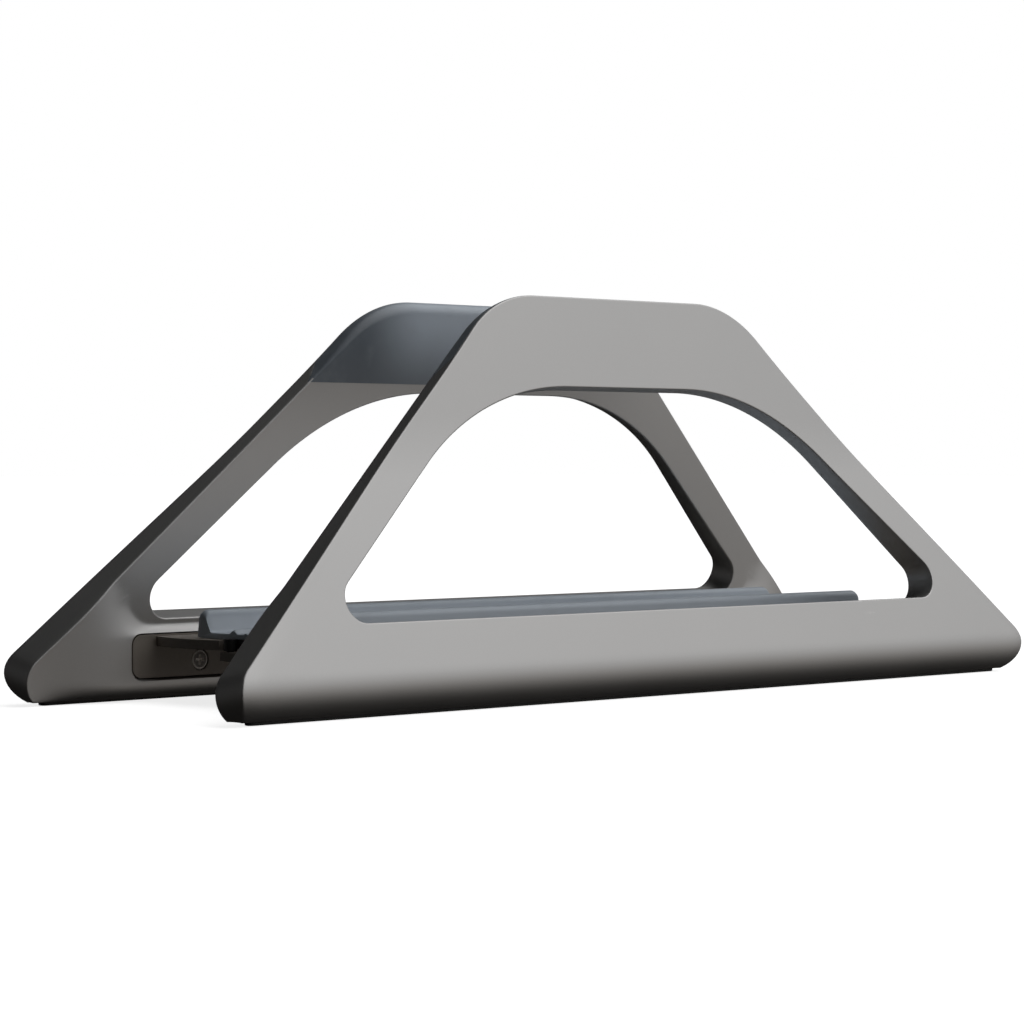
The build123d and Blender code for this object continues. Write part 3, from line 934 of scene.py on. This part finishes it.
def cradle_trough():
    half = half_profile()
    profile = half + [(-y, z) for y, z in reversed(half[1:-1])]
    ends = [cradle_half * k for k in (-0.9, -0.6, -0.3, 0, 0.3, 0.6, 0.9)]
    corner = [end_radius * (1 - cos(turn)) for turn in quarter(7)]
    stations = [-cradle_half + d for d in corner] + ends + [cradle_half - d for d in reversed(corner)]
    rings = []
    tall = cradle_high.z - cradle_floor
    for x in stations:
        inside = min(end_radius, cradle_half - abs(x))
        drop = end_radius - sqrt(end_radius**2 - (end_radius - inside) ** 2)
        edge = end_edge * (1 - sqrt(1 - (1 - min(1.0, inside / end_edge)) ** 2))
        ring = []
        for y, z in profile:
            lift = max(0.0, z - cradle_floor) / tall
            up = z - drop * lift - edge * (1 - lift) * 0.5
            ring.append(Vector((x, y * (1 - edge / lip_outer_y), up)) * MM)
        rings.append(ring)
    mesh = bmesh.new()
    capped(mesh, rings)
    return mesh_object("cradle_trough", mesh, sharp=0.9)


cradle = cradle_trough()
cradle.data.materials.append(silicone_skin)
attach(cradle, "cradle")
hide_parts("cradle_pad")

# ---- Arm screws and guide screws ----
# M2 pan heads with a cross recess, blackened, four through each flange and into the frame.  Two slotted
# shoulder screws hold the carrier to the spine from below.  Each kind is one screw, repeated along a line.


def turned_mesh(profile, steps=32):
    """A solid of revolution about z from (radius, z) points that start and end on the axis."""
    mesh = bmesh.new()
    first = mesh.verts.new((0, 0, profile[0][1] * MM))
    last = mesh.verts.new((0, 0, profile[-1][1] * MM))
    angles = [2 * pi * i / steps for i in range(steps)]
    rows = [[mesh.verts.new(Vector((*polar((0, 0), radius, angle), z)) * MM) for angle in angles]
            for radius, z in profile[1:-1]]
    for i in range(steps):
        j = (i + 1) % steps
        mesh.faces.new((first, rows[0][i], rows[0][j]))
        mesh.faces.new((last, rows[-1][j], rows[-1][i]))
        for a, b in zip(rows, rows[1:]):
            mesh.faces.new((a[i], b[i], b[j], a[j]))
    return mesh


def recess_tool(name, arms, width, low, high, taper):
    """Crossing slots that cut a driver's recess: arms is a list of (half x, half y)."""
    tools = []
    for half_x, half_y in arms:
        along, across = (taper, taper * 0.4) if half_x > half_y else (taper * 0.4, taper)
        mesh = bmesh.new()
        rings = []
        for z, share in ((low, 1), (high, 0)):
            outline = stadium(half_x - along * share, half_y - across * share, width, 2)
            rings.append([Vector((x, y, z)) * MM for x, y in outline])
        capped(mesh, rings)
        tools.append(mesh_object(name, mesh))
    return tools


head_radius = 2.0
head_height = 1.1
head_round = 0.35
shank_radius = 0.98
shank_length = 5.2
shank_point = 0.3
thread_pitch = 0.4
thread_depth = 0.14
thread_gap = 0.4
thread_end = 0.6
head_dish = 0.12
head_fall = 0.02
recess_arms = [(1.0, 0.25), (0.25, 1.0)]
recess_radius = 0.08
recess_depth = 0.4
recess_taper = 0.2
tool_above = 0.2


def pan_screw():
    """A pan-head screw along +z, its head's top at z = 0 and its shank below."""
    profile = [(0, 0), (head_radius - head_round - head_dish, 0), (head_radius - head_round, -head_fall)]
    profile += [(head_radius - head_round * (1 - sin(a)), -head_round * (1 - cos(a)) - head_fall)
                for a in quarter(5)[1:]]
    profile += [(head_radius, -head_height), (shank_radius, -head_height)]
    z = -head_height - thread_gap
    while z > -head_height - shank_length + thread_end:
        profile += [(shank_radius, z), (shank_radius - thread_depth, z - thread_pitch / 2)]
        z -= thread_pitch
    profile += [(shank_radius - shank_point, -head_height - shank_length), (0, -head_height - shank_length)]
    screw = mesh_object("pan_screw", turned_mesh(profile))
    for tool in recess_tool("recess", recess_arms, recess_radius, -recess_depth, tool_above, recess_taper):
        screw = cut(screw, tool)
    return screw


guide_radius = 1.2
guide_edge = 0.12
guide_head = 0.6
guide_shank = 0.7
guide_length = 3.4
slot_arms = [(1.4, 0.2)]


def guide_pattern():
    """A slotted shoulder screw along +z, its head's face at z = 0 and its shank above."""
    top = guide_head + guide_length
    profile = [(0, 0), (guide_radius - guide_edge, 0), (guide_radius, guide_edge), (guide_radius, guide_head),
               (guide_shank, guide_head), (guide_shank, top), (0, top)]
    screw = mesh_object("guide_screw_pattern", turned_mesh(profile))
    for tool in recess_tool("slot", slot_arms, 0.02, -0.2, 0.3, 0.0):
        screw = cut(screw, tool)
    return screw


def node_group(name, sockets):
    """An empty Geometry Nodes group, with its input and output nodes."""
    tree = bpy.data.node_groups.new(name, "GeometryNodeTree")
    for socket, kind in sockets:
        tree.interface.new_socket(socket, in_out="INPUT", socket_type="NodeSocket" + kind)
    tree.interface.new_socket("Geometry", in_out="OUTPUT", socket_type="NodeSocketGeometry")
    return tree, tree.nodes.new("NodeGroupInput"), tree.nodes.new("NodeGroupOutput")


def link_all(tree, joins):
    """Links made from (node, output, node, input)."""
    for source, output, target, socket in joins:
        tree.links.new(source.outputs[output], target.inputs[socket])


def set_inputs(modifier, values):
    """Values given to a node modifier's inputs, through their socket identifiers."""
    for item in modifier.node_group.interface.items_tree:
        if item.in_out == "INPUT" and item.name in values:
            modifier[item.identifier] = values[item.name]


def row_tree(material):
    """Geometry Nodes: one piece repeated along a line, made real and given its finish."""
    tree, entry, leave = node_group("row_of_pieces", (
        ("Geometry", "Geometry"), ("Piece", "Object"), ("Count", "Int"), ("Start", "Vector"),
        ("Step", "Vector"), ("Turn", "Vector")))
    line = tree.nodes.new("GeometryNodeMeshLine")
    piece_info = tree.nodes.new("GeometryNodeObjectInfo")
    spread = tree.nodes.new("GeometryNodeInstanceOnPoints")
    real = tree.nodes.new("GeometryNodeRealizeInstances")
    paint = tree.nodes.new("GeometryNodeSetMaterial")
    paint.inputs["Material"].default_value = material
    link_all(tree, (
        (entry, "Count", line, "Count"), (entry, "Start", line, "Start Location"),
        (entry, "Step", line, "Offset"), (entry, "Piece", piece_info, "Object"),
        (line, "Mesh", spread, "Points"), (piece_info, "Geometry", spread, "Instance"),
        (entry, "Turn", spread, "Rotation"), (spread, "Instances", real, "Geometry"),
        (real, "Geometry", paint, "Geometry"), (paint, "Geometry", leave, "Geometry")))
    return tree


def row_of(name, pattern, material, count, start, step, turn=(0, 0, 0)):
    """A row of copies of a pattern piece, as one plain mesh."""
    piece = linked(name, bpy.data.meshes.new(name))
    rows = piece.modifiers.new("row", "NODES")
    rows.node_group = row_tree(material)
    set_inputs(rows, {"Piece": pattern, "Count": count, "Start": Vector(start) * MM,
                      "Step": Vector(step) * MM, "Turn": Vector(turn)})
    return applied(piece)


def blackened(tree):
    """Blackened zinc: dark and satin, with a painted highlight ring on each head's rounded edge, a painted
    highlight in each cross recess, and faint random rubbing.
    """
    grain = tree.noise(4200, 3)
    rub = tree.noise(1500, 2).step(0.45, 0.75)
    apart = tree.axis("X") - screw_start * MM
    place_x = apart - (apart / (screw_step * MM)).math("ROUND") * (screw_step * MM)
    place_z = tree.axis("Z") - screw_z * MM
    radius = (place_x * place_x + place_z * place_z).math("SQRT") / MM
    # Painted highlights: a pale ring where each head's rounded edge would catch the light, and a pale cross
    # where the recess would glint.
    ring = radius.step(1.50, 1.62) * (1 - radius.step(1.84, 1.96))
    narrow = place_x.math("ABSOLUTE").math("MINIMUM", place_z.math("ABSOLUTE")) / MM
    cross = (1 - narrow.step(0.24, 0.34)) * (1 - radius.step(0.95, 1.05))
    # The painted highlights, mixed with a little random rubbing.
    highlight_and_rub = (ring * 0.9 + cross * 1.2 + rub * 0.1).math("MINIMUM", 1.0)
    return {
        "Base Color": tree.blend(highlight_and_rub, grey(0.13, 0.12), grey(0.75, 0.05)),
        "Metallic": 0.1,
        "Roughness": 0.38 + grain * 0.14,
        "Normal": tree.bump(grain, 0.00001, 0.4),
    }


first_low, first_high = (Vector(corner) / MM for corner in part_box("rear_arm_screw_1"))
last_low, last_high = (Vector(corner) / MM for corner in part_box("rear_arm_screw_4"))
screw_z = (first_low.z + first_high.z) / 2
screw_step = ((last_low.x + last_high.x) - (first_low.x + first_high.x)) / 6
screw_start = (first_low.x + first_high.x) / 2
screw_finish = finish("screw_black", blackened)
pan = pan_screw()
guide = guide_pattern()
for side, sign in (("rear", 1), ("front", -1)):
    screws = row_of(side + "_flange_screws", pan, screw_finish, 4, (screw_start, sign * first_low.y, screw_z),
                    (screw_step, 0, 0), (sign * pi / 2, 0, 0))
    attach(screws, side + "_side")
    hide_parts(*[f"{side}_arm_screw_{i}" for i in range(1, 5)])
guide_low, guide_high = (Vector(corner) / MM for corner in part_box("guide_screw_1"))
guide_x = (guide_low.x + guide_high.x) / 2
guides = row_of("carrier_guide_screws", guide, screw_finish, 2, (guide_x, 0, guide_low.z),
                (-2 * guide_x, 0, 0))
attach(guides, "cradle")
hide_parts("guide_screw_1", "guide_screw_2")

# ---- Hinge rods, torsion springs and stop bumpers ----
# Ground steel rods carry the barrels.  Two music-wire torsion springs sit round each rod between its barrels
# and hold the arm down and open, and soft discs on the spine stop it there.


def steel(tree):
    """Ground spring steel with fine draw marks along x."""
    lines = tree.noise(2600, 3, stretch=(0.04, 1, 1))
    stain = tree.noise(240, 3)
    return {
        "Base Color": tree.blend(stain, grey(0.46), grey(0.60, 0.02)),
        "Metallic": 1.0,
        "Roughness": 0.22 + lines * 0.12 + stain * 0.06,
        "Normal": tree.bump(lines, 0.000006, 0.5),
    }


bright_steel = finish("spring_steel", steel)
rod_low, rod_high = (Vector(corner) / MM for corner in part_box("rear_hinge_rod"))
rod_radius = (rod_high.z - rod_low.z) / 2
rod_chamfer = 0.2
hinge_y = (rod_low.y + rod_high.y) / 2
hinge_z = (rod_low.z + rod_high.z) / 2


def hinge_rod():
    half = rod_high.x
    mesh = turned_mesh([(0, -half), (rod_radius - rod_chamfer, -half), (rod_radius, -half + rod_chamfer),
                        (rod_radius, -half / 3), (rod_radius, half / 3), (rod_radius, half - rod_chamfer),
                        (rod_radius - rod_chamfer, half), (0, half)], 24)
    turn = Matrix.Translation(Vector((0, hinge_y, hinge_z)) * MM) @ Matrix.Rotation(pi / 2, 4, "Y")
    bmesh.ops.transform(mesh, matrix=turn, verts=mesh.verts)
    return mesh_object("rear_rod", mesh)


spring_low, spring_high = (Vector(corner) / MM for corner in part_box("rear_torsion_spring_1"))
spring_wire = 0.45
spring_turns = 6
turn_points = 20
coil_radius = (spring_high.z - spring_low.z - spring_wire) / 2
coil_length = spring_high.x - spring_low.x - spring_wire
leg_length = 1.6


def spring_path():
    """A torsion spring's wire about x: a short leg, the coil, and a leg the other way."""
    start = -coil_length / 2
    steps = turn_points * spring_turns
    points = [(start, -leg_length, coil_radius)]
    for i in range(steps + 1):
        angle = 2 * pi * i / turn_points
        points.append((start + coil_length * i / steps, coil_radius * sin(angle), coil_radius * cos(angle)))
    points.append((-start, leg_length, coil_radius))
    return points


def wire_tree():
    """Geometry Nodes: a round wire along a path."""
    tree, entry, leave = node_group("round_wire", (
        ("Geometry", "Geometry"), ("Radius", "Float"), ("Sides", "Int")))
    path = tree.nodes.new("GeometryNodeMeshToCurve")
    ring = tree.nodes.new("GeometryNodeCurvePrimitiveCircle")
    wire = tree.nodes.new("GeometryNodeCurveToMesh")
    wire.inputs["Fill Caps"].default_value = True
    real = tree.nodes.new("GeometryNodeRealizeInstances")
    paint = tree.nodes.new("GeometryNodeSetMaterial")
    paint.inputs["Material"].default_value = bright_steel
    link_all(tree, (
        (entry, "Geometry", path, "Mesh"), (path, "Curve", wire, "Curve"),
        (entry, "Radius", ring, "Radius"), (entry, "Sides", ring, "Resolution"),
        (ring, "Curve", wire, "Profile Curve"), (wire, "Mesh", real, "Geometry"),
        (real, "Geometry", paint, "Geometry"), (paint, "Geometry", leave, "Geometry")))
    return tree


def spring_pattern():
    data = bpy.data.meshes.new("spring_pattern")
    points = [Vector(point) * MM for point in spring_path()]
    data.from_pydata(points, [(i, i + 1) for i in range(len(points) - 1)], [])
    piece = linked("spring_pattern", data)
    wire = piece.modifiers.new("wire", "NODES")
    wire.node_group = wire_tree()
    set_inputs(wire, {"Radius": spring_wire / 2 * MM, "Sides": 8})
    return remade(applied(piece), sharp=1.2)


bumper_low, bumper_high = (Vector(corner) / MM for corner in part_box("rear_stop_bumper_1"))
bumper_radius = (bumper_high.x - bumper_low.x) / 2
bumper_height = bumper_high.z - bumper_low.z
bumper_edge = 0.15


def bumper_pattern():
    profile = [(0, 0), (bumper_radius, 0)]
    profile += [(bumper_radius - bumper_edge * (1 - cos(a)), bumper_height - bumper_edge * (1 - sin(a)))
                for a in quarter(4)]
    return mesh_object("bumper_pattern", turned_mesh(profile + [(0, bumper_height)], 24))


rear_rod = hinge_rod()
rear_rod.data.materials.append(bright_steel)
rods = {"rear": rear_rod, "front": flipped(rear_rod, "front_rod")}
spring = spring_pattern()
disc = bumper_pattern()
spring_x = (spring_low.x + spring_high.x) / 2
bumper_x = (bumper_low.x + bumper_high.x) / 2
bumper_y = (bumper_low.y + bumper_high.y) / 2
for side, sign in (("rear", 1), ("front", -1)):
    springs = row_of(side + "_springs", spring, bright_steel, 2, (spring_x, sign * hinge_y, hinge_z),
                     (-2 * spring_x, 0, 0))
    bumpers = row_of(side + "_bumpers", disc, silicone_skin, 2, (bumper_x, sign * bumper_y, bumper_low.z),
                     (-2 * bumper_x, 0, 0))
    for piece, node, slot in ((rods[side], "hinge_rod", "spring_steel"),
                              (springs, "torsion_spring", "spring_steel"),
                              (bumpers, "stop_bumper", "silicone")):
        nodes = [f"{side}_{node}"] if node == "hinge_rod" else [f"{side}_{node}_{i}" for i in (1, 2)]
        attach(piece, "spine")
        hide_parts(*nodes)
for pattern in (pan, guide, spring, disc):
    bpy.data.objects.remove(pattern)

# ---- Floor and light ----
# A plain pale floor under a plain white surround.  A broad soft card stands in front on the right, a smaller
# one hangs overhead, and two weak ones stand behind.
front_strength = 0.80
high_strength = 1.3
right_back_strength = 0.04
left_back_strength = 0.06
room_strength = 0.010
floor_mesh = bmesh.new()
bmesh.ops.create_grid(floor_mesh, x_segments=1, y_segments=1, size=8.0)
floor = mesh_object("floor", floor_mesh)
floor.data.materials.append(finish("floor_pale", lambda tree: {
    "Base Color": grey(0.9), "Roughness": 0.9, "Emission Color": (1, 1, 1, 1), "Emission Strength": 0.8}))
floor.visible_glossy = False
floor.visible_diffuse = False

world = bpy.data.worlds.new("studio")
world.use_nodes = True
bpy.context.scene.world = world
sky = Tree(world.node_tree)
ray = sky.make("TexCoord", output="Generated")


def towards(place):
    """How nearly a ray points at a place, from -1 to 1."""
    return sky.make("VectorMath", {"operation": "DOT_PRODUCT"}, [ray, Vector(place).normalized()],
                    output="Value")


front_card = towards((0.5, -0.87, 0)).step(0.45, 0.95) * towards((0, 0, 1)).step(-0.8, 0.4)
high_card = towards((0.45, -0.2, 0.87)).step(0.7, 1.0)
right_back_card = towards((0.85, 0.5, 0.1)).step(0.8, 1.0)
left_back_card = towards((-0.8, 0.58, 0.15)).step(0.85, 1.0)
glow = front_card * front_strength + high_card * high_strength
glow += right_back_card * right_back_strength + left_back_card * left_back_strength + room_strength
below = 1 - towards((0, 0, 1)).step(-0.35, 0.1)
seen = sky.make("LightPath", output="Is Camera Ray")
background = world.node_tree.nodes["Background"]
sky.join(sky.blend(below * (1 - seen), grey(1.0), grey(0.94, 0.07)), background.inputs["Color"])
sky.join(seen + (1 - seen) * glow, background.inputs["Strength"])
bpy.context.scene.view_settings.view_transform = "Standard"
